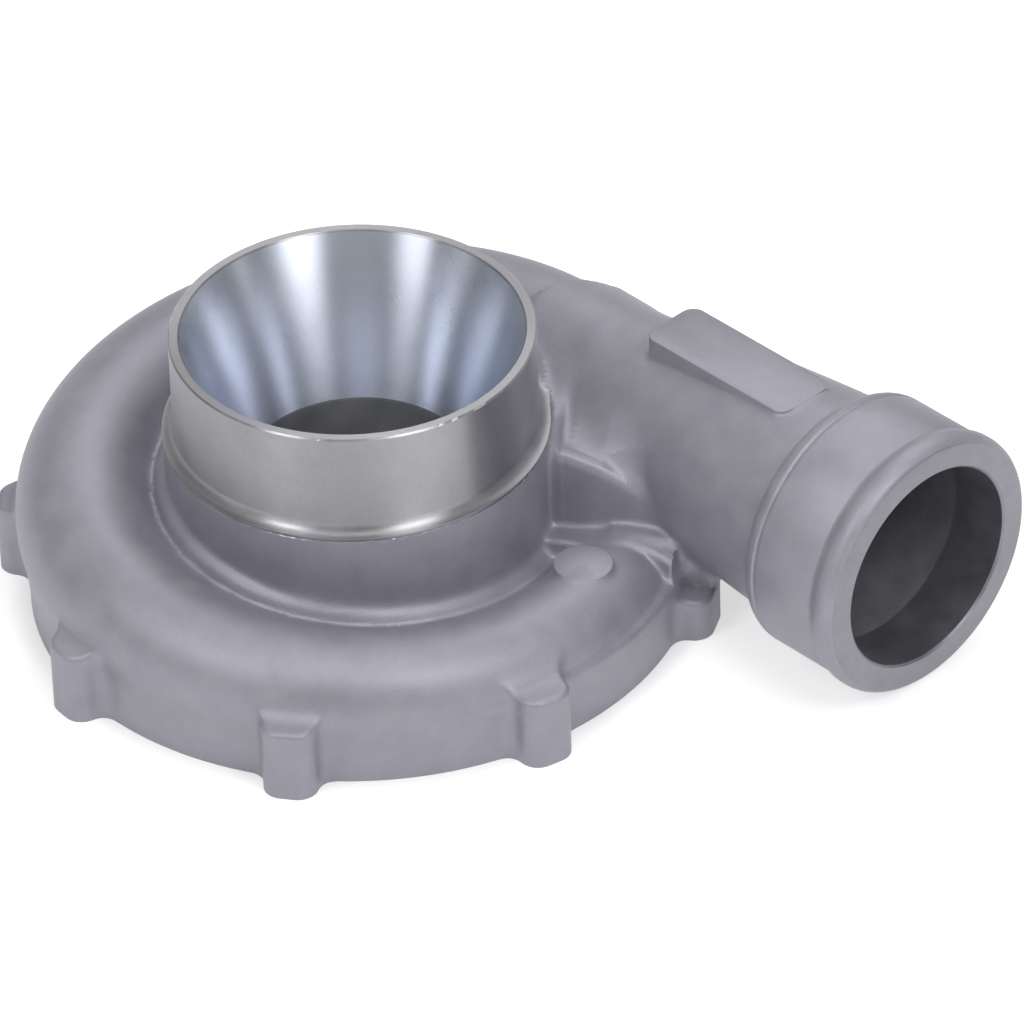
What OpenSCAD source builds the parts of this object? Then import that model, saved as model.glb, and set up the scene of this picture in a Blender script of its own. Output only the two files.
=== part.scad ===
// Turbo compressor housing: one aluminium casting, machined at the inlet and at the rear.
// Frame: +Z is the compressor axis with the inlet up, z = 0 is the rear mounting face,
// and the outlet duct runs along +X on the +Y side.

/* [Inlet] */
// Outside diameter of the machined hose spigot
inlet_d = 101.6; // [96:0.2:103]
// Height of the inlet rim above the rear face
inlet_z = 84; // [78:0.5:95]
// Width of the flat rim ring
rim_w = 3.15; // [2:0.05:5]
// Chamfer on both edges of the rim
rim_chamfer = 0.4; // [0.2:0.1:0.8]
// Outer diameter of the machined lip that ends the spigot
lip_d = 107.8; // [106:0.2:112]
// Height of that lip above the rear face
lip_z = 52.4; // [50:0.2:56]
// Height of the flare between the spigot and the lip
flare_h = 3.6; // [2:0.2:6]
// Diameter of the as-cast collar below the lip
collar_d = 106.4; // [104:0.2:107.4]

/* [Wheel side] */
// Diameter of the throat ahead of the compressor wheel
throat_d = 62; // [56:0.5:68]
// Height of the throat, where the bell of the inlet ends
throat_z = 37.7; // [34:0.1:42]
// Height at which the wheel shroud starts to curve outwards
shroud_z = 27; // [24:0.5:30]
// Diameter at which the shroud runs out into the diffuser face
shroud_exit_d = 92; // [80:1:100]
// Height of the diffuser face above the rear face
diffuser_z = 10; // [8:0.5:12]
// Diameter of the register that centres the rear plate
register_d = 168; // [164:0.5:172]
// Depth of the register
register_depth = 6; // [4:0.5:7]
// Diameter inside the seat of the rear plate
seat_d = 160; // [156:0.5:162]

/* [Flange] */
// Diameter of the flange band
flange_d = 186.4; // [184:0.2:190]
// Height of the flange band
flange_h = 18.5; // [16:0.5:20]
// Diameter of the circle of tapped bolt holes
bolt_circle_d = 189; // [186:0.5:192]
// Angle between neighbouring bolts
bolt_step = 42.5; // [42:0.25:43]
// Angle of the first bolt, beside the outlet duct
bolt_first = 30; // [28:0.5:32]
// Number of bolts
bolt_count = 8; // [8:1:8]
// Tapping diameter of the bolt holes
bolt_hole_d = 5; // [4.2:0.1:6.8]
// Depth of the bolt holes
bolt_hole_depth = 10.5; // [8:0.5:11]
// Reach of the bolt bosses from the axis
boss_reach = 102.3; // [101:0.1:104]
// Height of the bolt bosses
boss_h = 22; // [20:0.5:24]
// Height of the cut-down boss beside the duct
low_boss_h = 13; // [12.5:0.5:15]
// Radius of the rounded corners of a boss
boss_corner_r = 5.5; // [4:0.5:7]
// Width of the flat between the two corners of a boss
boss_flat = 4.2; // [2:0.2:6]
// Radius of the fillets between a boss and the band
boss_fillet_r = 5; // [3:0.5:6]

/* [Scroll] */
// Outer radius of the scroll section where the duct starts
scroll_end_r = 21; // [20:0.2:22]
// Reach of the scroll from the axis at the duct
scroll_reach = 98.6; // [96:0.1:100]
// How much less the scroll reaches at the tongue
scroll_inset = 9.6; // [8:0.2:11]
// Height of the section centre at the tongue
scroll_z = 12; // [10:0.5:14]
// Wall thickness of the scroll and the duct
wall = 4.2; // [3:0.1:5.5]
// Width of the ledge round the collar
ledge_w = 3.3; // [2:0.1:5]
// Height of the ledge at the tongue
ledge_z = 18.3; // [16:0.1:21]
// Rise of the ledge over one turn
ledge_rise = 37; // [32:0.5:40]
// Depth of the valley below the ledge at the tongue
valley_depth = 3; // [2:0.5:5]

/* [Outlet] */
// Height of the duct axis above the rear face
duct_z = 39.2; // [39.2:0.2:42]
// Distance of the duct axis from the compressor axis
duct_y = 74.7; // [74:0.1:77]
// Distance of the outlet face from the compressor axis
outlet_x = 147.5; // [140:0.5:160]
// Outer radius of the duct where it meets the collar
duct_end_r = 33.3; // [31:0.1:34]
// Outside diameter of the outlet collar
outlet_d = 76.2; // [74:0.2:76.4]
// Length of the outlet collar with its rounded shoulder
outlet_len = 35.5; // [32:0.5:40]
// Diameter of the hose bead at the mouth
bead_d = 78; // [77:0.2:78.4]
// Length of the hose bead
bead_len = 8.5; // [7.5:0.5:12]
// Bore of the outlet
outlet_bore_d = 59.7; // [56:0.1:62]
// Length of the straight bore at the outlet
outlet_bore_len = 18; // [14:0.5:24]

/* [Pads] */
// Length of the flat pad on the duct
pad_len = 54; // [48:0.5:58]
// Width of the flat pad
pad_w = 19.7; // [16:0.1:22]
// Height of the top of the pad above the duct axis
pad_rise = 32; // [31:0.2:34]
// Offset of the pad from the duct axis
pad_shift = 0.7; // [0:0.1:1.5]
// Distance from the compressor axis to the near end of the pad
pad_x = 47; // [44:0.5:50]
// Corner radius of the pad
pad_corner_r = 4; // [2:0.5:6]
// Diameter of the round boss for a pressure tap
tap_d = 16.4; // [14:0.2:18]
// Height of its top above the rear face
tap_z = 31; // [30.5:0.5:34]
// Distance of its centre from the compressor axis
tap_r = 72.9; // [71:0.1:75]
// Angle of its centre
tap_angle = 14.4; // [12:0.2:17]

/* [Web] */
// Angle of the flat panel that closes the web between collar and duct
panel_angle = 33.5; // [32:0.5:36]
// Height of the panel beside the collar
panel_high = 50; // [47:0.5:51]
// Height of the panel beside the duct
panel_low = 37; // [35:0.5:39]
// Height of the shelf at the foot of the panel
shelf_z = 25; // [24:0.5:26]
// Width of the collar's ring beside the duct
ring_w = 3.6; // [2.4:0.2:4.4]

/* [Hidden] */
$fn = 96;
cast_colour = [0.66, 0.66, 0.69];
inlet_r = inlet_d / 2;
lip_r = lip_d / 2;
collar_r = collar_d / 2;
throat_r = throat_d / 2;
flange_r = flange_d / 2;
bead_r = bead_d / 2;
outlet_r = outlet_d / 2;
bolt_hole_r = bolt_hole_d / 2;
// The scroll runs clockwise from the tongue to the duct, seen from above.
tongue_angle = 60;
scroll_turn = 330;
scroll_start = 22;
passage_start = 32;
// The section's centre dips over these degrees at the tongue.
dip_from = 26;
dip_turn = 24;
tongue_dip = 4.5;
// Share of the section's radius that it gains from the tongue to the duct
section_growth = 0.3;
ring_count = 56;
shell_points = 15;
passage_points = 12;
web_foot_z = 4;
ring_top_z = lip_z - 1;
// Growth of the duct: share of its length, share of its gain in radius
duct_stations = [[0.25, 0.2], [0.47, 0.5], [0.7, 0.76], [0.9, 0.94]];

// Share of the scroll's turn at the angle phi from the tongue
function turn_share(phi) = phi / scroll_turn;
function section_r(phi) = scroll_end_r * (1 - section_growth * pow(1 - turn_share(phi), 1.15));
function section_reach(phi) = scroll_reach - scroll_inset * pow(1 - turn_share(phi), 2)
    + (duct_y + scroll_end_r - scroll_reach) * pow(turn_share(phi), 2);
function section_z(phi) = scroll_z + (duct_z - scroll_z) * pow(turn_share(phi), 1.18)
    - tongue_dip * pow(min(1, max(0, 1 - (phi - dip_from) / dip_turn)), 2);
function section_centre(phi) = [section_reach(phi) - section_r(phi), section_z(phi)];
function ledge_top(phi) = min(ring_top_z, ledge_z + ledge_rise * phi / 360);
function valley_z(phi) = ledge_top(phi) - valley_depth - 5.5 * turn_share(phi) * (1 - pow(turn_share(phi), 4));
// Height at which the scroll's outer side leaves the flange band
function crease_z(phi) = max(7, flange_h - 0.5 - 9.5 * pow(max(0, turn_share(phi) - 0.2) / 0.3, 1));

// A point of a section, given as [radius, height], placed at the angle phi from the tongue
function on_turn(p, phi) = let (a = tongue_angle - phi) [p[0] * cos(a), p[0] * sin(a), p[1]];

// Outer section of the scroll: flange side, drafted outer wall, round crown, slope down to a valley,
// and the ledge at the collar
function shell_section(phi) = let (
        c = section_centre(phi),
        r = section_r(phi),
        top = ledge_top(phi),
        crown_r = c[0] - sqrt(max(0, r * r - pow(valley_z(phi) - c[1], 2))),
        ledge_r = min(collar_r + ledge_w, crown_r - 0.9),
        valley = [ledge_r + 0.5, valley_z(phi)],
        reach = norm(valley - c),
        valley_angle = atan2(valley[1] - c[1], valley[0] - c[0]),
        fall_angle = (valley_angle < 0 ? valley_angle + 360 : valley_angle) - acos(min(1, r / reach)),
        low = max(8, min(crease_z(phi), c[1] - 1.5))
    ) concat(
        [[ledge_r + 1, 5], [flange_r - 6, 5], [min(flange_r, section_reach(phi)) - 0.8, low - 1.5]],
        [for (i = [0:shell_points - 1]) let (a = -6 + (fall_angle + 6) * i / (shell_points - 1))
            c + r * [cos(a), sin(a)]],
        [valley, [ledge_r, top - 0.8], [ledge_r - 0.8, top], [collar_r - 4, top], [collar_r - 4, 5]]
    );

// Section of the air passage: round, as large as the crown and the diffuser face let it be,
// drawn down into the slot of the diffuser
function passage_section(phi) = let (
        crown = section_z(phi) + section_r(phi) - wall,
        r = max(2.5, min(section_r(phi) - wall, (crown - diffuser_z - 1) / 1.574)),
        c = [section_centre(phi)[0], crown - r]
    ) concat(
        [[seat_d / 2 - 7, diffuser_z - 1], [seat_d / 2 - 1, diffuser_z - 1]],
        [for (i = [0:passage_points - 1]) let (a = -35 + 243 * i / (passage_points - 1))
            c + r * [cos(a), sin(a)]],
        [[seat_d / 2 - 13, diffuser_z - 1]]
    );

// Closed solid swept through rings of equal point count
module swept(rings) {
    n = len(rings[0]);
    m = len(rings);
    polyhedron(
        points = [for (ring = rings) for (p = ring) p],
        faces = concat(
            [[for (i = [0:n - 1]) i]],
            [for (k = [0:m - 2]) for (i = [0:n - 1]) let (j = (i + 1) % n)
                [k * n + i, (k + 1) * n + i, (k + 1) * n + j]],
            [for (k = [0:m - 2]) for (i = [0:n - 1]) let (j = (i + 1) % n)
                [k * n + i, (k + 1) * n + j, k * n + j]],
            [[for (i = [n - 1:-1:0]) (m - 1) * n + i]]
        ),
        convexity = 10
    );
}

function ring_angles(from, to) = [for (k = [0:ring_count]) from + (to - from) * k / ring_count];

module scroll_shell() {
    rings = [for (phi = ring_angles(scroll_start, scroll_turn))
        [for (p = shell_section(phi)) on_turn(p, phi)]];
    last = rings[len(rings) - 1];
    swept(concat(rings, [[for (p = last) p + [3, 0, 0]]]));
}

module scroll_passage() {
    rings = [for (phi = ring_angles(passage_start, scroll_turn))
        [for (p = passage_section(phi)) on_turn(p, phi)]];
    swept(rings);
}

module flange_band() {
    cylinder(h = flange_h, r = flange_r);
}

// Outline of a bolt boss that points along +X, with its fillets to the band
module boss_outline() {
    corner_x = boss_reach - boss_corner_r;
    half = boss_flat / 2 + boss_corner_r;
    difference() {
        union() {
            translate([flange_r - 12, -half - boss_fillet_r])
                square([12 + boss_fillet_r - 1, 2 * (half + boss_fillet_r)]);
            translate([flange_r - 12, -half])
                square([corner_x - flange_r + 12, 2 * half]);
            translate([flange_r - 12, -boss_flat / 2])
                square([boss_reach - flange_r + 12, boss_flat]);
            for (s = [-1, 1]) translate([corner_x, s * boss_flat / 2])
                circle(r = boss_corner_r);
        }
        for (s = [-1, 1]) translate([flange_r - 1 + boss_fillet_r, s * (half + boss_fillet_r)])
            circle(r = boss_fillet_r);
    }
}

module bolt_bosses() {
    for (i = [0:bolt_count - 1]) rotate(bolt_first - i * bolt_step)
        linear_extrude(height = i == 0 ? low_boss_h : boss_h) boss_outline();
}

// Column that carries the duct on the cut-down boss
module duct_column() {
    rotate(bolt_first) intersection() {
        linear_extrude(height = duct_z - 12) boss_outline();
        translate([flange_r - 6, 0.5, 1]) cube([40, 12, duct_z]);
    }
}

module inlet_body() {
    flare_points = 5;
    flare_start = lip_z + 0.5;
    rotate_extrude() polygon(concat(
        [[0, 3], [collar_r, 3], [collar_r, lip_z - 0.6], [lip_r, lip_z], [lip_r, flare_start]],
        [for (i = [1:flare_points]) let (a = 90 * i / flare_points)
            [lip_r - (lip_r - inlet_r) * sin(a), flare_start + (flare_h - 0.5) * (1 - cos(a))]],
        [[inlet_r, inlet_z - rim_chamfer], [inlet_r - rim_chamfer, inlet_z], [0, inlet_z]]
    ));
}

// Bore of the inlet bell, the throat, the wheel shroud, the diffuser face and the register
module wheel_bore() {
    bell_r = inlet_r - rim_w;
    exit_r = shroud_exit_d / 2;
    shroud_points = 8;
    rotate_extrude() polygon(concat(
        [[0, -1], [register_d / 2, -1], [register_d / 2, register_depth],
            [seat_d / 2, register_depth], [seat_d / 2, diffuser_z], [exit_r, diffuser_z]],
        [for (i = [1:shroud_points]) let (a = 90 * i / shroud_points)
            [exit_r - (exit_r - throat_r) * sin(a), shroud_z - (shroud_z - diffuser_z) * cos(a)]],
        [[throat_r, throat_z], [bell_r, inlet_z - rim_chamfer],
            [bell_r + rim_chamfer, inlet_z], [bell_r + rim_chamfer, inlet_z + 1], [0, inlet_z + 1]]
    ));
}

// Turns what is drawn along +Z into the direction of the duct
module along_duct() {
    translate([0, duct_y, duct_z]) rotate([90, 0, 90]) children();
}

module outlet_duct() {
    shoulder_x = outlet_x - outlet_len;
    shoulder_len = 5;
    relief_x = shoulder_x + shoulder_len;
    shoulder_points = 6;
    bead_x = outlet_x - bead_len;
    along_duct() rotate_extrude() polygon(concat(
        [[0, 0], [scroll_end_r + 0.15, 0]],
        [for (p = duct_stations)
            [scroll_end_r + (duct_end_r - scroll_end_r) * p[1], shoulder_x * p[0]]],
        [for (i = [0:shoulder_points]) let (t = i / shoulder_points)
            [duct_end_r + (outlet_r - duct_end_r) * sin(90 * t), shoulder_x + shoulder_len * (1 - cos(90 * t))]],
        [[outlet_r - 0.4, relief_x + 0.5], [outlet_r, relief_x + 1],
            [outlet_r, bead_x - 1.5], [outlet_r - 0.4, bead_x], [outlet_r, bead_x + 1.2],
            [bead_r, bead_x + 3], [bead_r, outlet_x - 3.5], [bead_r - 0.5, outlet_x - 1.5],
            [bead_r - 2, outlet_x], [0, outlet_x]]
    ));
}

module outlet_passage() {
    along_duct() rotate_extrude() polygon([
        [0, -0.5], [scroll_end_r - wall + 0.1, -0.5], [outlet_bore_d / 2, outlet_x - outlet_bore_len],
        [outlet_bore_d / 2, outlet_x + 1], [0, outlet_x + 1]
    ]);
}

module duct_pad() {
    translate([pad_x, duct_y - pad_w / 2 + pad_shift, duct_z]) linear_extrude(height = pad_rise) union() {
        translate([pad_corner_r, 0]) square([pad_len - 2 * pad_corner_r, pad_w]);
        translate([0, pad_corner_r]) square([pad_len, pad_w - 2 * pad_corner_r]);
        for (x = [pad_corner_r, pad_len - pad_corner_r], y = [pad_corner_r, pad_w - pad_corner_r])
            translate([x, y]) circle(r = pad_corner_r);
    }
}

module tap_boss() {
    rotate(tap_angle) translate([tap_r, 0, web_foot_z])
        cylinder(h = tap_z - web_foot_z, d = tap_d);
}

// Closed solid under a top surface: a loop of corners, clockwise from above, and the top's triangles
module under(top, loop_count, triangles, heart, foot) {
    n = len(top);
    loop = [for (i = [0:loop_count - 1]) i];
    polyhedron(
        points = concat(top, [for (p = top) [p[0], p[1], foot]]),
        faces = concat(
            triangles,
            [for (i = loop) let (j = (i + 1) % loop_count) [i, n + i, n + j]],
            [for (i = loop) let (j = (i + 1) % loop_count) [i, n + j, j]],
            [for (i = loop) let (j = (i + 1) % loop_count) if (i != heart && j != heart)
                [n + heart, n + j, n + i]]
        )
    );
}

function at(r, angle, z) = [r * cos(angle), r * sin(angle), z];

// Web between the collar and the duct, closed towards the scroll's start by a flat radial panel
module tongue_web() {
    inner_r = collar_r - 2;
    under([
        at(inner_r, 76, panel_high), [15, 62, 44], [70, 60, panel_low],
        at(88, panel_angle, panel_low), at(collar_r + 5, panel_angle, panel_high),
        at(inner_r, panel_angle, panel_high)
    ], 6, [[0, 1, 4], [1, 2, 4], [2, 3, 4], [0, 4, 5]], 4, web_foot_z);
}

// Solid metal below the duct, between the collar and the band
module duct_foot() {
    translate([1.5, collar_r - 2.7, web_foot_z + 1.2]) cube([34, 20, 31]);
    translate([1.5, collar_r + 6, web_foot_z + 1.6]) cube([28, 28, 19]);
}

// Shelf at the foot of the panel, where the scroll's crown begins
module tongue_shelf() {
    inner_r = collar_r - 2.4;
    front_angle = panel_angle - 5;
    under([
        at(inner_r, panel_angle + 1, shelf_z), at(88, panel_angle + 0.8, shelf_z),
        at(91, panel_angle - 7, 17.6), at(85, front_angle - 2, 20.8),
        at(74, front_angle, shelf_z), at(inner_r, front_angle, shelf_z)
    ], 6, [[0, 1, 4], [1, 2, 3], [1, 3, 4], [0, 4, 5]], 1, web_foot_z + 0.6);
}

// Ring under the lip that carries the ledge on beside the duct
module collar_ring() {
    ring_foot = panel_high - 14;
    top = ring_top_z - 0.3;
    rotate_extrude(angle = 62, start = panel_angle + 0.5)
        polygon([[collar_r - 3, ring_foot], [collar_r + ring_w - 1, ring_foot],
            [collar_r + ring_w, ring_foot + 1], [collar_r + ring_w, top - 1],
            [collar_r + ring_w - 1, top], [collar_r - 3, top]]);
}

module compressor_housing() {
    color(cast_colour) difference() {
        union() {
            flange_band();
            bolt_bosses();
            duct_column();
            scroll_shell();
            inlet_body();
            outlet_duct();
            duct_foot();
            duct_pad();
            tap_boss();
            tongue_web();
            tongue_shelf();
            collar_ring();
        }
        wheel_bore();
        scroll_passage();
        outlet_passage();
        for (i = [0:bolt_count - 1]) rotate(bolt_first - i * bolt_step)
            translate([bolt_circle_d / 2, 0, -1]) cylinder(h = bolt_hole_depth + 1, r = bolt_hole_r);
    }
}

compressor_housing();
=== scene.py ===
"""Looks of a turbo compressor housing: one aluminium casting, machined at the inlet and at the rear.

The outside is meshed from a distance field, so every meeting of two shapes has a true cast fillet. The
turned and machined places are crisp revolved meshes, joined to that skin or cut out of it.
Lengths in this file are millimetres until a mesh is stored; Blender's unit is the metre.
"""

import logging
import math
from collections.abc import Callable, Sequence
from dataclasses import dataclass, field
from enum import Enum

import bpy
import numpy as np
from mathutils import Matrix, Vector


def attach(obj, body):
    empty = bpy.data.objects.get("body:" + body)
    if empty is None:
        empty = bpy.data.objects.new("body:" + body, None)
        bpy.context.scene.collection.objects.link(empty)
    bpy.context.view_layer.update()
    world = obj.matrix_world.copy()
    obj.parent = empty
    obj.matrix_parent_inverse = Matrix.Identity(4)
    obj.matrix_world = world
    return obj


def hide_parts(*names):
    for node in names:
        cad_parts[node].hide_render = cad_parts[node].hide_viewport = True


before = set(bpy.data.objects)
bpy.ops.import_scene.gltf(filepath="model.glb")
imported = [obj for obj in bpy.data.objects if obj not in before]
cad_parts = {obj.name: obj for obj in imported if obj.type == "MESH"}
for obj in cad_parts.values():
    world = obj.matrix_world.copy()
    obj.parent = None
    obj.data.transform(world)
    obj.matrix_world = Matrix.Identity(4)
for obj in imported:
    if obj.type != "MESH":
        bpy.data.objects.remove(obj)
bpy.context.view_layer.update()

log = logging.getLogger("compressor_housing")
MM = 0.001
NODE = "compressor_housing"

# Axis of the outlet duct, mm.
DUCT_Y, DUCT_Z = 74.7, 39.2

Array = np.ndarray
Stops = tuple[tuple[float, float], ...]


class Surface(Enum):
    """Finishes that the housing carries, in the order of its material slots."""

    CAST = 0
    TURNED = 1
    BELL = 2
    BORE = 3
    MOUTH = 4
    THROAT = 5


class SolverName(Enum):
    """Blender's boolean solvers, quickest first."""

    MANIFOLD = "MANIFOLD"
    EXACT = "EXACT"


class Operation(Enum):
    """What a boolean does with its tool."""

    JOIN = "UNION"
    CUT = "DIFFERENCE"


# Distance fields: negative inside, in mm


def smooth_min(a: Array, b: Array, size: float) -> Array:
    """Joins two distance fields with a fillet.

    Args:
        a: First field, mm.
        b: Second field, mm.
        size: Width over which the two blend, mm.

    Returns:
        The field of the union.
    """
    near = np.maximum(size - np.abs(a - b), 0.0) / size
    return np.minimum(a, b) - near * near * size * 0.25


def smooth_max(a: Array, b: Array, size: float) -> Array:
    """Keeps what is inside both fields, with a rounded edge of about the given size."""
    return -smooth_min(-a, -b, size)


def rounded_box(x: Array, y: Array, half_x: float, half_y: float, corner: float) -> Array:
    """Field of a rectangle with rounded corners, centred at the origin.

    Args:
        x: Places along its length, mm.
        y: Places across it, mm.
        half_x: Half of its length, mm.
        half_y: Half of its width, mm.
        corner: Corner radius, mm.

    Returns:
        The field.
    """
    dx, dy = np.abs(x) - half_x + corner, np.abs(y) - half_y + corner
    outside = np.hypot(np.maximum(dx, 0.0), np.maximum(dy, 0.0))
    return outside + np.minimum(np.maximum(dx, dy), 0.0) - corner


def past_plane(x: Array, y: Array, angle: float) -> Array:
    """Distance past the plane through the axis at an angle in degrees, anticlockwise from above."""
    turn = math.radians(angle)
    return y * math.cos(turn) - x * math.sin(turn)


def between(place: Array, stops: Stops) -> Array:
    """Value at a place between stops, each given as (place, value)."""
    return np.interp(place, [stop[0] for stop in stops], [stop[1] for stop in stops])


@dataclass(frozen=True)
class BoltCircle:
    """Places of the bolts: the first lies under the duct and the others follow clockwise."""

    count: int = 8
    step: float = 42.5
    first: float = 30.0
    radius: float = 94.5

    def angles(self) -> list[float]:
        """Angle of each bolt, in radians anticlockwise from above."""
        return [math.radians(self.first - i * self.step) for i in range(self.count)]


@dataclass
class Scroll:
    """Outer form of the scroll: a round section that grows and climbs clockwise from the tongue.

    The turn phi is in degrees from the tongue, clockwise from above.
    """

    tongue_angle: float = 60.0
    turn: float = 330.0
    start: float = 22.0
    end_r: float = 21.0
    growth: float = 0.3
    reach: float = 98.6
    inset: float = 9.6
    low_z: float = 12.0
    dip_from: float = 26.0
    dip_turn: float = 24.0
    dip: float = 4.5
    band_r: float = 93.2
    band_h: float = 18.5
    collar_r: float = 53.2
    ledge_w: float = 3.3
    ledge_z: float = 18.3
    ledge_rise: float = 37.0
    ledge_limit: float = 51.4
    ledge_edge: float = 3.2
    ledge_fillet: float = 3.6
    valley_depth: float = 3.0
    draft: float = 6.0
    foot_inset: float = 0.8
    gap_x: float = 3.0
    wall: float = 4.2
    diffuser_z: float = 10.0
    passage_start: float = 34.0

    def share(self, phi: Array) -> Array:
        """Share of the whole turn at phi."""
        return phi / self.turn

    def radius(self, phi: Array) -> Array:
        """Outer radius of the section."""
        return self.end_r * (1 - self.growth * (1 - self.share(phi)) ** 1.15)

    def centre(self, phi: Array) -> tuple[Array, Array]:
        """Centre of the section.

        Args:
            phi: Turn from the tongue, degrees.

        Returns:
            Distance from the housing's axis and height.
        """
        s = self.share(phi)
        reach = self.reach - self.inset * (1 - s) ** 2 + (DUCT_Y + self.end_r - self.reach) * s**2
        low = np.clip(1 - (phi - self.dip_from) / self.dip_turn, 0, 1) ** 2
        height = self.low_z + (DUCT_Z - self.low_z) * s**1.18 - self.dip * low
        return reach - self.radius(phi), height

    def ledge_top(self, phi: Array) -> Array:
        """Height of the narrow ledge that climbs round the collar."""
        return np.minimum(self.ledge_limit, self.ledge_z + self.ledge_rise * phi / 360)

    def valley_z(self, phi: Array) -> Array:
        """Height of the valley between the ledge and the crown."""
        s = self.share(phi)
        return self.ledge_top(phi) - self.valley_depth - 5.5 * s * (1 - s**4)

    def foot_z(self, phi: Array) -> Array:
        """Height at which the outer wall leaves the flange band.

        Args:
            phi: Turn from the tongue, degrees.

        Returns:
            Heights, mm.
        """
        _, height = self.centre(phi)
        crease = np.maximum(7, self.band_h - 0.5 - 9.5 * np.maximum(0, self.share(phi) - 0.2) / 0.3)
        return np.maximum(8, np.minimum(crease, height - 1.5)) - 1.5

    def distance(self, x: Array, y: Array, z: Array) -> Array:
        """Field of the scroll with its outer wall, its slope to the valley and its ledge.

        Args:
            x: Places along +X, mm.
            y: Places along +Y, mm.
            z: Heights, mm.

        Returns:
            The field.
        """
        big_r = np.hypot(x, y)
        phi = np.mod(self.tongue_angle - np.degrees(np.arctan2(y, x)), 360.0)
        phi = np.where(phi > 345.0, 0.0, phi)
        phi = np.clip(phi, self.start, self.turn)
        r = self.radius(phi)
        c0, c1 = self.centre(phi)
        top = self.ledge_top(phi)
        valley_z = self.valley_z(phi)
        crown_r = c0 - np.sqrt(np.maximum(0, r * r - (valley_z - c1) ** 2))
        ledge_r = np.minimum(self.collar_r + self.ledge_w, crown_r - 0.9)
        valley_r = ledge_r + 0.5
        span = np.hypot(valley_r - c0, valley_z - c1)
        lean = np.mod(np.arctan2(valley_z - c1, valley_r - c0), 2 * math.pi)
        fall = lean - np.arccos(np.minimum(1, r / span))
        circle = np.hypot(big_r - c0, z - c1) - r
        slope = (big_r - c0) * np.cos(fall) + (z - c1) * np.sin(fall) - r
        inner = np.maximum(slope, big_r - (c0 + r * np.cos(fall)))
        foot_r = np.minimum(self.band_r, c0 + r) - self.foot_inset
        foot_z = self.foot_z(phi)
        draft = math.radians(self.draft)
        top_r, top_z = c0 + r * math.cos(draft), c1 - r * math.sin(draft)
        run = np.hypot(top_r - foot_r, top_z - foot_z)
        wall = ((top_z - foot_z) * (big_r - foot_r) - (top_r - foot_r) * (z - foot_z)) / run
        skirt = np.maximum(wall, z - top_z)
        body = np.minimum(circle, np.minimum(inner, skirt))
        ledge = smooth_max(big_r - ledge_r, z - top, self.ledge_edge)
        whole = smooth_min(body, ledge, self.ledge_fillet)
        gap = np.minimum(past_plane(x, y, self.tongue_angle - self.start), x - self.gap_x)
        return np.maximum(whole, gap)

    def passage_ring(self, phi: float) -> list[tuple[float, float]]:
        """Section of the air passage.

        Args:
            phi: Turn from the tongue, degrees.

        Returns:
            Corners as (distance from the axis, height), drawn down into the diffuser's slot.
        """
        at = np.array(phi)
        r_out = float(self.radius(at))
        c0, c1 = (float(v) for v in self.centre(at))
        crown = c1 + r_out - self.wall
        r = max(2.5, min(r_out - self.wall, (crown - self.diffuser_z - 1) / 1.574))
        turns = np.radians(-35 + 243 * np.arange(33) / 32)
        arc = [(c0 + r * math.cos(t), crown - r + r * math.sin(t)) for t in turns]
        return [(73.0, 9.0), (79.0, 9.0), *arc, (67.0, 9.0)]


@dataclass
class Duct:
    """The outlet duct: a cone that flares along +X to the hose collar."""

    start_r: float = 21.15
    end_r: float = 33.3
    shoulder_x: float = 112.0
    growth: Stops = ((0.0, 0.0), (0.25, 0.2), (0.47, 0.5), (0.7, 0.76), (0.9, 0.94), (1.0, 1.0))
    blend: int = 13

    def radius(self, x: Array) -> Array:
        """Outer radius along the duct, blended over some millimetres each way.

        Args:
            x: Places along the duct, mm.

        Returns:
            Radii, mm.
        """
        fine = np.linspace(0, self.shoulder_x, round(self.shoulder_x) + 1)
        raw = self.start_r + (self.end_r - self.start_r) * between(fine / self.shoulder_x, self.growth)
        kernel = np.hanning(2 * self.blend + 1)
        padded = np.pad(raw, self.blend, mode="reflect", reflect_type="odd")
        return np.interp(x, fine, np.convolve(padded, kernel / kernel.sum(), mode="valid"))

    def distance(self, x: Array, y: Array, z: Array) -> Array:
        """Field of the cone, closed at both ends inside what it meets."""
        side = (np.hypot(y - DUCT_Y, z - DUCT_Z) - self.radius(x)) * 0.993
        return np.maximum(side, np.maximum(-x, x - self.shoulder_x - 3.0))


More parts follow.
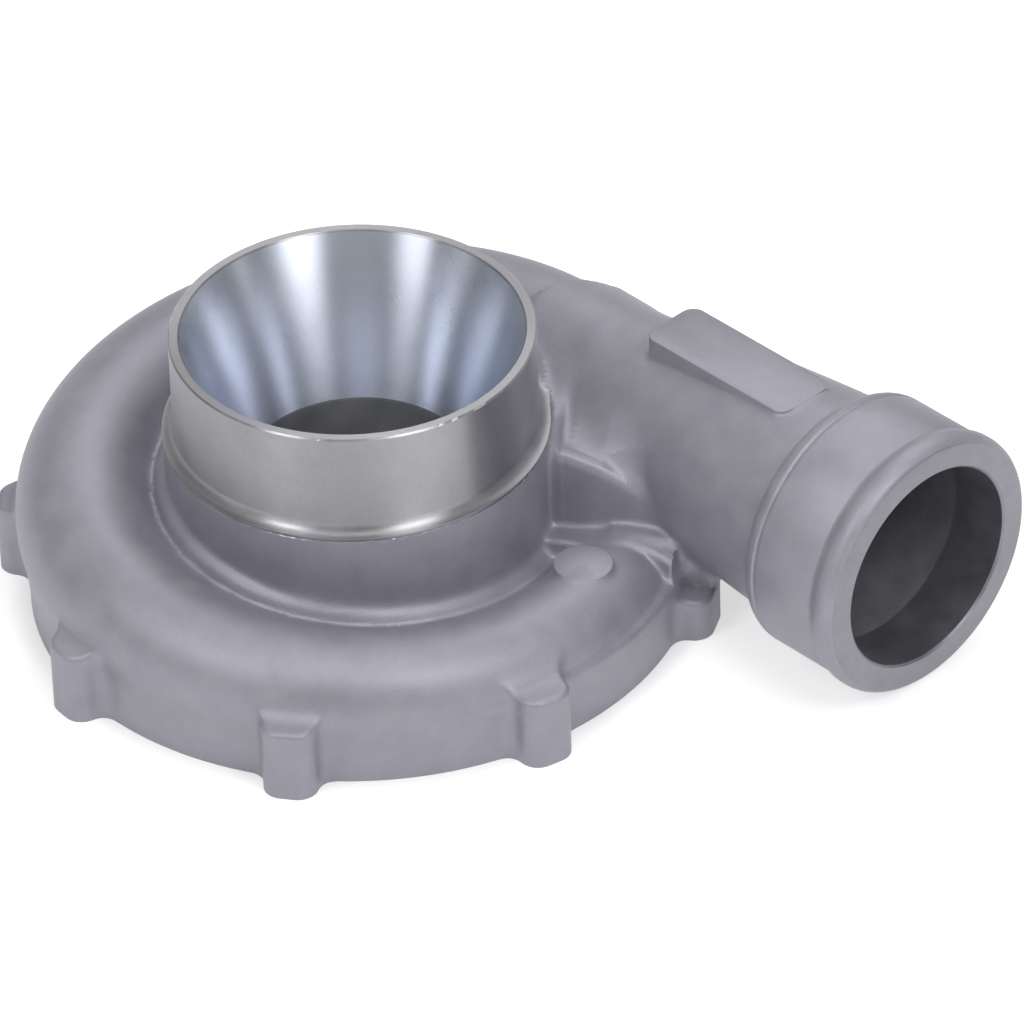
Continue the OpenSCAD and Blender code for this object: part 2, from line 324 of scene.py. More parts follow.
@dataclass
class Pads:
    """The flat cast faces that stand on the skin: the oblong pad and the round tap boss.

    The skin has both a little smaller, so that the crisp ones cover it.
    """

    pad_centre: tuple[float, float] = (74.0, 75.4)
    pad_half: tuple[float, float] = (27.0, 9.85)
    pad_corner: float = 4.0
    pad_root: float = 40.0
    pad_top: float = 71.8
    pad_sink: float = 0.9
    tap_centre: tuple[float, float] = (70.61, 18.13)
    tap_r: float = 8.2
    tap_top: float = 31.0
    tap_sink: float = 0.3
    edge: float = 0.35
    under: float = 0.15

    def pad_skin(self, x: Array, y: Array, z: Array) -> Array:
        """Field of the skin's own pad.

        Args:
            x: Places along +X, mm.
            y: Places along +Y, mm.
            z: Heights, mm.

        Returns:
            Signed distances, mm.
        """
        half_x, half_y, corner = (v - self.under for v in (*self.pad_half, self.pad_corner))
        plan = rounded_box(x - self.pad_centre[0], y - self.pad_centre[1], half_x, half_y, corner)
        return np.maximum(np.maximum(plan, self.pad_root - z), z - self.pad_top + self.pad_sink)

    def tap_skin(self, x: Array, y: Array, z: Array) -> Array:
        """Field of the skin's own tap boss."""
        plan = np.hypot(x - self.tap_centre[0], y - self.tap_centre[1]) - self.tap_r + self.under
        return np.maximum(plan, z - self.tap_top + self.tap_sink)

    def outline(self, inset: float, height: float) -> Array:
        """Rounded outline of the pad.

        Args:
            inset: How far the outline lies inside the pad's side, mm.
            height: Its height, mm.

        Returns:
            Points, counter-clockwise from above.
        """
        corner = self.pad_corner - inset
        turns = np.radians(np.arange(0, 91, 10))
        points = []
        for sx, sy, start in ((1, 1, 0), (-1, 1, 90), (-1, -1, 180), (1, -1, 270)):
            cx = self.pad_centre[0] + sx * (self.pad_half[0] - self.pad_corner)
            cy = self.pad_centre[1] + sy * (self.pad_half[1] - self.pad_corner)
            points += [(cx + corner * math.cos(t), cy + corner * math.sin(t), height)
                       for t in turns + math.radians(start)]
        return np.array(points)

    def pad(self) -> bpy.types.Object:
        """The oblong pad, with a small break on its upper edge.

        Returns:
            The closed mesh.
        """
        rings = [self.outline(self.edge, self.pad_top), self.outline(0.1, self.pad_top - 0.12),
                 self.outline(0.0, self.pad_top - self.edge), self.outline(0.0, self.pad_root + 10)]
        return swept("duct_pad", rings)

    def tap(self) -> bpy.types.Object:
        """The round boss for a pressure tap.

        Returns:
            The closed mesh.
        """
        profile = ((0, 12), (self.tap_r, 12), (self.tap_r, self.tap_top - self.edge),
                   (self.tap_r - 0.1, self.tap_top - 0.12), (self.tap_r - self.edge, self.tap_top),
                   (0, self.tap_top))
        return Turning(profile, segments=96, centre=self.tap_centre).build("tap_boss")


@dataclass
class Casting:
    """The whole as-cast outside as one distance field.

    Stops are pairs of a distance from the compressor axis and a size there.
    """

    scroll: Scroll = field(default_factory=Scroll)
    duct: Duct = field(default_factory=Duct)
    pads: Pads = field(default_factory=Pads)
    bolts: BoltCircle = field(default_factory=BoltCircle)
    band_edge: float = 2.4
    boss_reach: float = 102.3
    boss_half: tuple[float, float] = (15.0, 7.6)
    boss_corner: float = 5.5
    boss_h: float = 22.0
    low_boss_h: float = 13.0
    post_off: float = 4.1
    post_half: float = 3.5
    post_corner: float = 3.0
    post_h: float = 27.2
    collar_top: float = 51.7
    panel_angle: float = 33.5
    ridge: Stops = ((50, 50.0), (59, 49.5), (68.9, 46.1), (77.4, 41.4), (85.6, 37.5), (96, 32.3))
    valley: Stops = ((54, 2.6), (60, 2.2), (68, 1.4), (78, 1.0))
    valley_w: float = 9.0
    web_r: float = 91.0
    web_x: float = 12.0
    ring_r: float = 56.0
    ring_top: float = 50.5
    ring_turn: float = 61.0
    shelf_lead: float = 1.5
    shelf_top: Stops = ((50, 24.6), (62, 24.9), (70, 25.9), (78, 27.5), (91, 27.2))
    shelf_w: Stops = ((50, 7.6), (62, 7.9), (70, 8.2), (78, 8.2), (84, 9.0), (91, 11.5))
    # Blocks of the foot under the duct: centre, half sizes and top.
    foot_blocks: tuple[tuple[float, ...], ...] = ((18.5, 60.5, 17, 10, 36.2), (15.5, 73.2, 14, 14, 24.6))
    skin_floor: float = -1.8

    def band(self, x: Array, y: Array, z: Array) -> Array:
        """Field of the flange band, with a worn upper edge."""
        return smooth_max(np.hypot(x, y) - self.scroll.band_r, z - self.scroll.band_h, self.band_edge)

    def bosses(self, x: Array, y: Array, z: Array) -> Array:
        """Field of the bolt bosses, the first one cut down under the duct with its column.

        Args:
            x: Places along +X, mm.
            y: Places along +Y, mm.
            z: Heights, mm.

        Returns:
            The field.
        """
        out = np.full_like(x, 1e3)
        half, width = self.boss_half
        for i, a in enumerate(self.bolts.angles()):
            u, v = x * math.cos(a) + y * math.sin(a), -x * math.sin(a) + y * math.cos(a)
            plan = rounded_box(u - (self.boss_reach - half), v, half, width, self.boss_corner)
            height = self.low_boss_h if i == 0 else self.boss_h
            out = np.minimum(out, smooth_max(plan, z - height, 1.8))
            if i == 0:
                post = rounded_box(u - (self.boss_reach - half), v - self.post_off, half, self.post_half,
                                   self.post_corner)
                out = np.minimum(out, smooth_max(post, z - self.post_h, 2.0))
        return out

    def collar(self, x: Array, y: Array, z: Array) -> Array:
        """Field of the as-cast collar below the inlet's lip."""
        return np.maximum(np.hypot(x, y) - self.scroll.collar_r, z - self.collar_top)

    def web(self, x: Array, y: Array, z: Array) -> Array:
        """Field of the web between collar and duct, closed by a flat radial panel.

        Args:
            x: Places along +X, mm.
            y: Places along +Y, mm.
            z: Heights, mm.

        Returns:
            The field.
        """
        behind = past_plane(x, y, self.panel_angle)
        out_r = past_plane(x, y, self.panel_angle - 90.0)
        step = np.clip(behind / self.valley_w, 0, 1)
        top = between(out_r, self.ridge) - between(out_r, self.valley) * step * step * (3 - 2 * step)
        slab = smooth_max((z - top) * 0.8, -behind, 3.2)
        return np.maximum(slab, np.maximum(np.hypot(x, y) - self.web_r, self.web_x - x))

    def collar_ring(self, x: Array, y: Array, z: Array) -> Array:
        """Field of the ring that carries the ledge on beside the duct.

        Args:
            x: Places along +X, mm.
            y: Places along +Y, mm.
            z: Heights, mm.

        Returns:
            The field.
        """
        start = self.panel_angle + self.shelf_lead
        wedge = np.maximum(-past_plane(x, y, start), past_plane(x, y, start + self.ring_turn))
        rim = smooth_max(np.hypot(x, y) - self.ring_r, z - self.ring_top, 1.8)
        return np.maximum(np.maximum(rim, 20 - z), wedge)

    def shelf(self, x: Array, y: Array, z: Array) -> Array:
        """Field of the shelf at the panel's foot, where the crown begins.

        Args:
            x: Places along +X, mm.
            y: Places along +Y, mm.
            z: Heights, mm.

        Returns:
            The field.
        """
        big_r = np.hypot(x, y)
        ahead = -past_plane(x, y, self.panel_angle)
        top = between(big_r, self.shelf_top) - 0.02 * np.maximum(0, big_r - 78) * np.maximum(0, ahead)
        slab = smooth_max((z - top) * 0.95, ahead - between(big_r, self.shelf_w), 1.8)
        back = past_plane(x, y, self.panel_angle + self.shelf_lead)
        return np.maximum(slab, np.maximum(back, big_r - self.web_r - 0.5))

    def foot(self, x: Array, y: Array, z: Array) -> Array:
        """Field of the solid metal below the duct.

        Args:
            x: Places along +X, mm.
            y: Places along +Y, mm.
            z: Heights, mm.

        Returns:
            Signed distances, mm.
        """
        blocks = [np.maximum(np.maximum(np.abs(x - cx) - half_x, np.abs(y - cy) - half_y), z - top)
                  for cx, cy, half_x, half_y, top in self.foot_blocks]
        return np.minimum(*blocks)

    def distance(self, x: Array, y: Array, z: Array) -> Array:
        """Field of everything, with a fillet of its own at each meeting.

        Args:
            x: Places along +X, mm.
            y: Places along +Y, mm.
            z: Heights, mm.

        Returns:
            The field.
        """
        collar = self.collar(x, y, z)
        base = smooth_min(self.band(x, y, z), self.scroll.distance(x, y, z), 1.8)
        base = smooth_min(base, self.bosses(x, y, z), 5.0)
        base = smooth_min(base, self.shelf(x, y, z), 2.4)
        base = smooth_min(base, collar, 3.0)
        web = smooth_min(self.web(x, y, z), self.collar_ring(x, y, z), 3.0)
        web = smooth_min(web, collar, 2.6)
        behind = past_plane(x, y, self.panel_angle)
        # The fillets to the duct grow away from the panel's edge, which stays crisp.
        web = smooth_min(web, self.duct.distance(x, y, z), 2.2 + 12.0 * np.clip((behind - 0.5) / 5.5, 0, 1))
        base = smooth_min(base, web, 0.2 + 2.0 * np.clip((x - 6.0) / 20.0, 0, 1))
        base = np.minimum(base, self.foot(x, y, z))
        base = smooth_min(base, self.pads.pad_skin(x, y, z), 1.6)
        base = smooth_min(base, self.pads.tap_skin(x, y, z), 1.8)
        return np.maximum(base, self.skin_floor - z)


@dataclass
class SkinMesher:
    """Turns a distance field into a closed quad mesh, one vertex a crossed cell."""

    cell: float = 1.25
    low: tuple[float, float, float] = (-106.0, -106.0, -2.6)
    high: tuple[float, float, float] = (118.5, 114.0, 75.0)
    settle_steps: int = 3
    left_limit: float = -102.29

    def mesh(self, distance: Callable[[Array, Array, Array], Array]) -> tuple[Array, Array]:
        """Meshes the field's zero surface.

        Args:
            distance: Field, negative inside, of x, y and z in mm.

        Returns:
            Vertices in mm and quads as rows of four indices.
        """
        axes = [np.arange(a, b, self.cell) for a, b in zip(self.low, self.high)]
        grid = np.meshgrid(*axes, indexing="ij")
        values = distance(*grid)
        inside = values < 0
        corner = [(i, j, k) for i in (0, 1) for j in (0, 1) for k in (0, 1)]
        shape = tuple(n - 1 for n in inside.shape)

        def part(data: Array, c: tuple[int, int, int]) -> Array:
            """One corner's values, a row of cells in each direction."""
            return data[c[0]:c[0] + shape[0], c[1]:c[1] + shape[1], c[2]:c[2] + shape[2]]

        count = sum(part(inside, c).astype(np.int8) for c in corner)
        cells = np.argwhere((count > 0) & (count < 8))
        number = np.full(shape, -1, dtype=np.int64)
        number[tuple(cells.T)] = np.arange(len(cells))
        total, hits = np.zeros((len(cells), 3)), np.zeros(len(cells))
        held = {c: part(values, c)[tuple(cells.T)] for c in corner}
        for c in corner:
            for axis in range(3):
                if c[axis]:
                    continue
                d = tuple(v + (1 if n == axis else 0) for n, v in enumerate(c))
                a, b = held[c], held[d]
                crossed = (a < 0) != (b < 0)
                share = np.where(crossed, a / np.where(crossed, a - b, 1.0), 0.0)
                spot = np.tile(np.array(c, dtype=float), (len(cells), 1))
                spot[:, axis] += share
                total += spot * crossed[:, None]
                hits += crossed
        points = np.array(self.low) + (cells + total / hits[:, None]) * self.cell
        quads = []
        for axis in range(3):
            u, v = (axis + 1) % 3, (axis + 2) % 3
            first = [slice(1, -1)] * 3
            first[axis] = slice(0, -1)
            second = list(first)
            second[axis] = slice(1, None)
            a, b = inside[tuple(first)], inside[tuple(second)]
            where = np.argwhere(a != b)
            base = where.copy()
            base[:, u] += 1
            base[:, v] += 1
            around = []
            for du, dv in ((-1, -1), (0, -1), (0, 0), (-1, 0)):
                at = base.copy()
                at[:, u] += du
                at[:, v] += dv
                around.append(number[tuple(at.T)])
            ring = np.stack(around, axis=1)
            outward = a[tuple(where.T)]
            quads.append(np.where(outward[:, None], ring, ring[:, ::-1]))
        points = self.settle(points, distance)
        points[:, 0] = np.maximum(points[:, 0], self.left_limit)
        return points, np.concatenate(quads)

    def settle(self, points: Array, distance: Callable[[Array, Array, Array], Array]) -> Array:
        """Moves the vertices onto the field's zero surface by a few Newton steps.

        Args:
            points: Vertices, mm.
            distance: Field of x, y and z.

        Returns:
            The moved vertices.
        """
        eps = 0.05
        for _ in range(self.settle_steps):
            x, y, z = points.T
            value = distance(x, y, z)
            slope = np.stack([distance(x + eps, y, z) - value, distance(x, y + eps, z) - value,
                              distance(x, y, z + eps) - value], axis=1) / eps
            size = np.maximum((slope**2).sum(axis=1), 0.25)
            move = -slope * (value / size)[:, None]
            points = points + np.clip(move, -0.35 * self.cell, 0.35 * self.cell)
        return points


# Meshes


def mesh_object(name: str, points: Array, faces: Sequence[Sequence[int]] | Array) -> bpy.types.Object:
    """Makes an object from points in mm.

    Args:
        name: Object and mesh name.
        points: One row a vertex, mm.
        faces: Corner indices of each face, outward by the right hand.

    Returns:
        The object, linked to the scene and at the origin.
    """
    data = bpy.data.meshes.new(name)
    data.from_pydata((np.asarray(points) * MM).tolist(), [], [list(map(int, f)) for f in faces])
    data.update()
    obj = bpy.data.objects.new(name, data)
    bpy.context.scene.collection.objects.link(obj)
    return obj


def read(items: bpy.types.bpy_prop_collection, name: str, width: int = 1) -> Array:
    """Reads one value of every item.

    Args:
        items: Vertices, loops, edges or polygons of a mesh.
        name: Name of the value.
        width: Numbers in a value. A single one is a whole number.

    Returns:
        One row an item, or one number an item where the width is 1.
    """
    values = np.zeros(len(items) * width, dtype=np.int32 if width == 1 else np.float64)
    items.foreach_get(name, values)
    return values if width == 1 else values.reshape(-1, width)


def corners(data: bpy.types.Mesh) -> tuple[Array, Array]:
    """Vertex number and face number of every face corner."""
    sizes = read(data.polygons, "loop_total")
    return read(data.loops, "vertex_index"), np.repeat(np.arange(len(sizes)), sizes)


@dataclass
class Turning:
    """A shape turned from a profile, about +Z or about the outlet's axis."""

    profile: Sequence[tuple[float, float]]
    about_duct: bool = False
    segments: int = 288
    centre: tuple[float, float] = (0.0, 0.0)

    def build(self, name: str) -> bpy.types.Object:
        """Revolves the profile, given as (radius, height) from the axis and back to it.

        Args:
            name: Name of the object.

        Returns:
            A closed mesh, with one vertex at each end on the axis.
        """
        ring = self.profile[1:-1]
        turns = 2 * np.pi * np.arange(self.segments) / self.segments
        rows = [np.stack([r * np.cos(turns), r * np.sin(turns), np.full_like(turns, h)], 1) for r, h in ring]
        ends = np.array([[0, 0, self.profile[0][1]], [0, 0, self.profile[-1][1]]], dtype=float)
        points = np.concatenate([*rows, ends])
        n, m = self.segments, len(ring)
        faces: list[tuple[int, ...]] = []
        for k in range(m - 1):
            faces += [(k * n + i, k * n + (i + 1) % n, (k + 1) * n + (i + 1) % n, (k + 1) * n + i)
                      for i in range(n)]
        faces += [(m * n, (i + 1) % n, i) for i in range(n)]
        faces += [(m * n + 1, (m - 1) * n + i, (m - 1) * n + (i + 1) % n) for i in range(n)]
        if self.about_duct:
            points = np.stack([points[:, 2], DUCT_Y + points[:, 0], DUCT_Z + points[:, 1]], 1)
        points[:, :2] += self.centre
        return mesh_object(name, points, faces)


def swept(name: str, rings: Sequence[Array]) -> bpy.types.Object:
    """Closed solid through rings of equal point count, with flat ends.

    Args:
        name: Name of the object.
        rings: Each ring's points in mm, in order along the path.

    Returns:
        The object.
    """
    n, m = len(rings[0]), len(rings)
    faces: list[tuple[int, ...]] = [tuple(range(n)), tuple((m - 1) * n + i for i in reversed(range(n)))]
    for k in range(m - 1):
        faces += [(k * n + i, (k + 1) * n + i, (k + 1) * n + (i + 1) % n, k * n + (i + 1) % n)
                  for i in range(n)]
    return mesh_object(name, np.concatenate(rings), faces)


def edge_faults(obj: bpy.types.Object) -> int:
    """Number of edges that don't have exactly two faces."""
    uses = np.bincount(read(obj.data.loops, "edge_index"), minlength=len(obj.data.edges))
    return int((uses != 2).sum())


def plain_mesh(obj: bpy.types.Object) -> None:
    """Puts the evaluated mesh in place of the object's own and drops its modifiers.

    Args:
        obj: Object to change.
    """
    graph = bpy.context.evaluated_depsgraph_get()
    done = bpy.data.meshes.new_from_object(obj.evaluated_get(graph))
    obj.modifiers.clear()
    old, obj.data = obj.data, done
    bpy.data.meshes.remove(old)


def combine(target: bpy.types.Object, tool: bpy.types.Object, operation: Operation) -> None:
    """Joins a tool to the target or cuts it out, and removes the tool.

    Args:
        target: Object that keeps the result.
        tool: Closed mesh.
        operation: What is done with the tool.
    """
    before = target.data.copy()
    for solver in SolverName:
        change = target.modifiers.new("combine", "BOOLEAN")
        change.object, change.operation, change.solver = tool, operation.value, solver.value
        plain_mesh(target)
        faults = edge_faults(target)
        if len(target.data.polygons) and not faults:
            break
        log.warning("%s: %s by %s leaves %d open edges", tool.name, operation.name, solver.name, faults)
        if solver is not SolverName.EXACT:
            target.data = before.copy()
    bpy.data.objects.remove(tool)


# Nodes


def add_node(tree: bpy.types.NodeTree, kind: str, settings: dict | None = None,
             **links: object) -> bpy.types.Node:
    """Adds one node with its settings, values and links.

    Args:
        tree: Shader or geometry node tree.
        kind: Node type.
        settings: Attributes of the node.
        links: Value or output socket for an input, by its name with _ for a space, or i0, i1 by place.

    Returns:
        The node.
    """
    made = tree.nodes.new(kind)
    for key, value in (settings or {}).items():
        setattr(made, key, value)
    for key, value in links.items():
        place = key[1:]
        socket = made.inputs[int(place)] if key[0] == "i" and place.isdigit() else \
            made.inputs[key.replace("_", " ")]
        if isinstance(value, bpy.types.NodeSocket):
            tree.links.new(value, socket)
        else:
            socket.default_value = value
    return made


def cleared_tree(owner: bpy.types.Material | bpy.types.World) -> bpy.types.NodeTree:
    """Switches on an owner's nodes and returns its tree, emptied.

    Args:
        owner: Material or world.

    Returns:
        The tree.
    """
    owner.use_nodes = True
    owner.node_tree.nodes.clear()
    return owner.node_tree


@dataclass
class BoltDrills:
    """The tapping drills of the bolt circle, as one repeated cutter."""

    bolts: BoltCircle = field(default_factory=BoltCircle)
    radius: float = 2.5
    depth: float = 10.0
    overlap: float = 0.5
    sides: int = 48

    def sizes(self) -> dict[str, int | float]:
        """Sizes of the pattern by the tree's input names, in metres and degrees.

        Returns:
            One value an input.
        """
        return {"Count": self.bolts.count, "Step": self.bolts.step, "First": self.bolts.first,
                "Circle Radius": self.bolts.radius * MM, "Drill Radius": self.radius * MM,
                "Length": (self.depth + self.overlap) * MM, "Start": -self.overlap * MM}

    def tree(self, finish: bpy.types.Material) -> bpy.types.GeometryNodeTree:
        """Builds the node tree that places the drills round the axis.

        Args:
            finish: Material of the cut faces.

        Returns:
            The tree, with named inputs for its sizes.
        """
        tree = bpy.data.node_groups.new("bolt_drills", "GeometryNodeTree")
        tree.interface.new_socket("Geometry", in_out="OUTPUT", socket_type="NodeSocketGeometry")
        for name, value in self.sizes().items():
            kind = "NodeSocketInt" if isinstance(value, int) else "NodeSocketFloat"
            tree.interface.new_socket(name, in_out="INPUT", socket_type=kind)
        given = add_node(tree, "NodeGroupInput").outputs
        index = add_node(tree, "GeometryNodeInputIndex").outputs[0]
        turn = add_node(tree, "ShaderNodeMath", {"operation": "MULTIPLY"}, i0=index, i1=given["Step"])
        angle = add_node(tree, "ShaderNodeMath", {"operation": "SUBTRACT"}, i0=given["First"],
                         i1=turn.outputs[0])
        radians = add_node(tree, "ShaderNodeMath", {"operation": "RADIANS"}, i0=angle.outputs[0])
        reach = add_node(tree, "ShaderNodeCombineXYZ", X=given["Circle Radius"])
        spot = add_node(tree, "ShaderNodeVectorRotate", {"rotation_type": "Z_AXIS"},
                        Vector=reach.outputs[0], Angle=radians.outputs[0])
        points = add_node(tree, "GeometryNodePoints", Count=given["Count"], Position=spot.outputs[0])
        drill = add_node(tree, "GeometryNodeMeshCone", {"fill_type": "NGON"}, Vertices=self.sides,
                         Radius_Top=given["Drill Radius"], Radius_Bottom=given["Drill Radius"],
                         Depth=given["Length"])
        start = add_node(tree, "ShaderNodeCombineXYZ", Z=given["Start"])
        lowered = add_node(tree, "GeometryNodeTransform", Geometry=drill.outputs["Mesh"],
                           Translation=start.outputs[0])
        placed = add_node(tree, "GeometryNodeInstanceOnPoints", Points=points.outputs[0],
                          Instance=lowered.outputs[0])
        real = add_node(tree, "GeometryNodeRealizeInstances", Geometry=placed.outputs[0])
        dressed = add_node(tree, "GeometryNodeSetMaterial", Geometry=real.outputs[0], Material=finish)
        add_node(tree, "NodeGroupOutput", Geometry=dressed.outputs[0])
        return tree

    def build(self, finish: bpy.types.Material) -> bpy.types.Object:
        """Evaluates the tree to one plain cutter.

        Args:
            finish: Material of the cut faces.

        Returns:
            The cutter.
        """
        cutter = mesh_object("bolt_drills", np.zeros((0, 3)), [])
        pattern = cutter.modifiers.new("bolt_drills", "NODES")
        pattern.node_group = self.tree(finish)
        for item in pattern.node_group.interface.items_tree:
            if item.in_out == "INPUT":
                pattern[item.identifier] = self.sizes()[item.name]
        plain_mesh(cutter)
        return cutter


# Finishes


def linear(code: str) -> tuple[float, float, float, float]:
    """Linear colour of an sRGB hex value such as #A9A9AF."""
    parts = [int(code[i:i + 2], 16) / 255 for i in (1, 3, 5)]
    return (*(c / 12.92 if c <= 0.04045 else ((c + 0.055) / 1.055) ** 2.4 for c in parts), 1.0)


def per_metre(size: float) -> float:
    """Noise scale whose features are about this many millimetres across."""
    return 1.0 / (size * MM)


@dataclass(frozen=True)
class Finish:
    """One finish of the housing's aluminium.

    The grain and blotch sizes are millimetres; depth is the bump's height in millimetres.
    """

    name: str
    dark: str
    light: str
    metallic: float
    roughness: float
    grain: float
    grain_depth: float
    blotch: float
    rough_spread: float = 0.06
    anisotropic: float = 0.0
    groove: float = 0.0
    groove_depth: float = 0.0

    def material(self) -> bpy.types.Material:
        """Builds the node material.

        Returns:
            The material, reading Object coordinates, and the turned UV map where it has grooves.
        """
        made = bpy.data.materials.new(self.name)
        tree = cleared_tree(made)
        place = add_node(tree, "ShaderNodeTexCoord").outputs["Object"]
        blotch = add_node(tree, "ShaderNodeTexNoise", Vector=place, Scale=per_metre(self.blotch), Detail=3.0,
                          Roughness=0.55)
        grain = add_node(tree, "ShaderNodeTexNoise", Vector=place, Scale=per_metre(self.grain), Detail=2.0,
                         Roughness=0.6)
        mixed = add_node(tree, "ShaderNodeMath", {"operation": "MULTIPLY_ADD"}, i0=grain.outputs[0], i1=0.45,
                         i2=blotch.outputs[0])
        tone = add_node(tree, "ShaderNodeMapRange", i0=mixed.outputs[0], i1=0.45, i2=1.0)
        colour = add_node(tree, "ShaderNodeMix", {"data_type": "RGBA"}, Factor=tone.outputs[0])
        for slot, code in ((6, self.dark), (7, self.light)):
            colour.inputs[slot].default_value = linear(code)
        rough = add_node(tree, "ShaderNodeMapRange", i0=blotch.outputs[0], i1=0.3, i2=0.7,
                         i3=self.roughness - self.rough_spread, i4=self.roughness + self.rough_spread)
        height, depth = grain.outputs[0], self.grain_depth
        shader = add_node(tree, "ShaderNodeBsdfPrincipled", Base_Color=colour.outputs[2],
                          Metallic=self.metallic, Roughness=rough.outputs[0])
        if self.groove:
            turned = add_node(tree, "ShaderNodeUVMap", {"uv_map": "turned"}).outputs[0]
            along = add_node(tree, "ShaderNodeSeparateXYZ", Vector=turned).outputs["Y"]
            wave = add_node(tree, "ShaderNodeMath", {"operation": "MULTIPLY"}, i0=along,
                            i1=2 * math.pi / self.groove)
            ridge = add_node(tree, "ShaderNodeMath", {"operation": "SINE"}, i0=wave.outputs[0])
            height = add_node(tree, "ShaderNodeMath", {"operation": "MULTIPLY_ADD"}, i0=ridge.outputs[0],
                              i1=self.groove_depth / max(depth, 1e-6) * 0.5, i2=grain.outputs[0]).outputs[0]
        if self.anisotropic:
            shader.inputs["Anisotropic"].default_value = self.anisotropic
            shader.inputs["Anisotropic Rotation"].default_value = 0.25
            line = add_node(tree, "ShaderNodeTangent", {"direction_type": "UV_MAP", "uv_map": "turned"})
            tree.links.new(line.outputs[0], shader.inputs["Tangent"])
        bump = add_node(tree, "ShaderNodeBump", Strength=1.0, Distance=depth * MM, Height=height)
        tree.links.new(bump.outputs[0], shader.inputs["Normal"])
        add_node(tree, "ShaderNodeOutputMaterial", Surface=shader.outputs[0])
        return made


# Real feed marks are a few tenths of a millimetre apart. They are drawn coarser, so that they show.
# Shot-blasted aluminium casting: matt mid grey with a fine, even grain and faint cloudy tone.
CAST = Finish("shot_blasted_cast_aluminium", "#9C9AA5", "#A9A7B1", metallic=0.5, roughness=0.5,
              grain=0.6, grain_depth=0.08, blotch=9.0, rough_spread=0.04)
# Turned aluminium, fine feed marks: bright, with soft bands up and down and a satin edge.
TURNED = Finish("turned_aluminium", "#A3A2A6", "#B5B4B8", metallic=1.0, roughness=0.36, grain=0.8,
                grain_depth=0.003, blotch=14.0, rough_spread=0.03, anisotropic=0.9, groove=1.4,
                groove_depth=0.003)
# Turned and polished bell: nearly mirror-like, light drawn into streaks down the cone.
BELL = Finish("polished_turned_aluminium", "#C2C7D3", "#D2D7E3", metallic=1.0, roughness=0.29, grain=0.8,
              grain_depth=0.001, blotch=18.0, rough_spread=0.02, anisotropic=0.95, groove=1.6,
              groove_depth=0.001)
# As-cast passage: the same casting as outside, duller and darker than the skin.
BORE = Finish("as_cast_passage_aluminium", "#85838A", "#97959C", metallic=0.55, roughness=0.62,
              grain=0.7, grain_depth=0.08, blotch=7.0)
# Milled mouth face and bored outlet: cleaner than the skin but a little darker, with faint tool rings.
MOUTH = Finish("bored_cast_aluminium", "#8A8890", "#9C9AA2", metallic=0.8, roughness=0.42, grain=0.6,
               grain_depth=0.02, blotch=8.0, rough_spread=0.05, anisotropic=0.3, groove=1.5,
               groove_depth=0.008)
# Throat and shroud, bored: a dull dark grey that is painted shade for the inside of the throat, closing the
# bell downwards.
THROAT = Finish("bored_aluminium_painted_shade", "#7E7E80", "#8E8E90", metallic=0.8, roughness=0.5, grain=0.8,
                grain_depth=0.003, blotch=12.0, rough_spread=0.04, anisotropic=0.5, groove=1.6,
                groove_depth=0.003)
FINISHES = dict(zip(Surface, (CAST, TURNED, BELL, BORE, MOUTH, THROAT)))


@dataclass
class Inlet:
    """Machined inlet: spigot, rim, bell, throat, shroud, diffuser face and register."""

    spigot_r: float = 50.8
    rim_z: float = 84.0
    rim_w: float = 3.15
    chamfer: float = 0.45
    neck_r: float = 51.0
    root_z: float = 40.0
    lip_r: float = 53.9
    lip_z: float = 52.4
    lip_fillet: float = 0.5
    flare_h: float = 3.6
    throat_r: float = 31.0
    throat_z: float = 37.7
    register_r: float = 84.0
    register_z: float = 6.0
    seat_r: float = 80.0
    diffuser_z: float = 10.0
    shroud_r: float = 46.0
    shroud_h: float = 17.0
    edge: float = 0.6

    @property
    def bell_r(self) -> float:
        """Radius of the bell below its chamfer."""
        return self.spigot_r - self.rim_w

    def body(self) -> bpy.types.Object:
        """Turned outside, from the lip up to the rim.

        Returns:
            The closed mesh.
        """
        lip_r, lip_z = self.lip_r, self.lip_z
        flare = [(lip_r - (lip_r - self.spigot_r) * math.sin(a),
                  lip_z + self.lip_fillet + (self.flare_h - self.lip_fillet) * (1 - math.cos(a)))
                 for a in np.radians(np.linspace(0, 90, 9))]
        lip = [(lip_r - 0.65, lip_z - 0.95), (lip_r - 0.15, lip_z - 0.45), (lip_r, lip_z)]
        profile = [(0, self.root_z), (self.neck_r, self.root_z), (self.neck_r, lip_z - 2.2), *lip, *flare,
                   (self.spigot_r, self.rim_z - self.chamfer), (self.spigot_r - self.chamfer, self.rim_z),
                   (0, self.rim_z)]
        return Turning(profile).build("inlet_turning")

    def bore(self) -> bpy.types.Object:
        """Cutter of the bell, the throat, the shroud, the diffuser face and the register.

        Returns:
            The closed mesh.
        """
        bell_r, rim_z, low = self.bell_r, self.rim_z, self.diffuser_z
        rear = [(0, -1), (self.register_r + self.edge, -1), (self.register_r + self.edge, 0),
                (self.register_r, self.edge), (self.register_r, self.register_z),
                (self.seat_r, self.register_z), (self.seat_r, low), (self.shroud_r, low)]
        shroud = [(self.shroud_r - (self.shroud_r - self.throat_r) * math.sin(a),
                   low + self.shroud_h * (1 - math.cos(a))) for a in np.radians(np.linspace(6, 90, 15))]
        bell = [(self.throat_r, self.throat_z - 0.6), (self.throat_r + 0.3, self.throat_z + 0.4),
                (bell_r, rim_z - self.chamfer), (bell_r + self.chamfer, rim_z),
                (bell_r + self.chamfer, rim_z + 1), (0, rim_z + 1)]
        return Turning([*rear, *shroud, *bell]).build("inlet_bore")


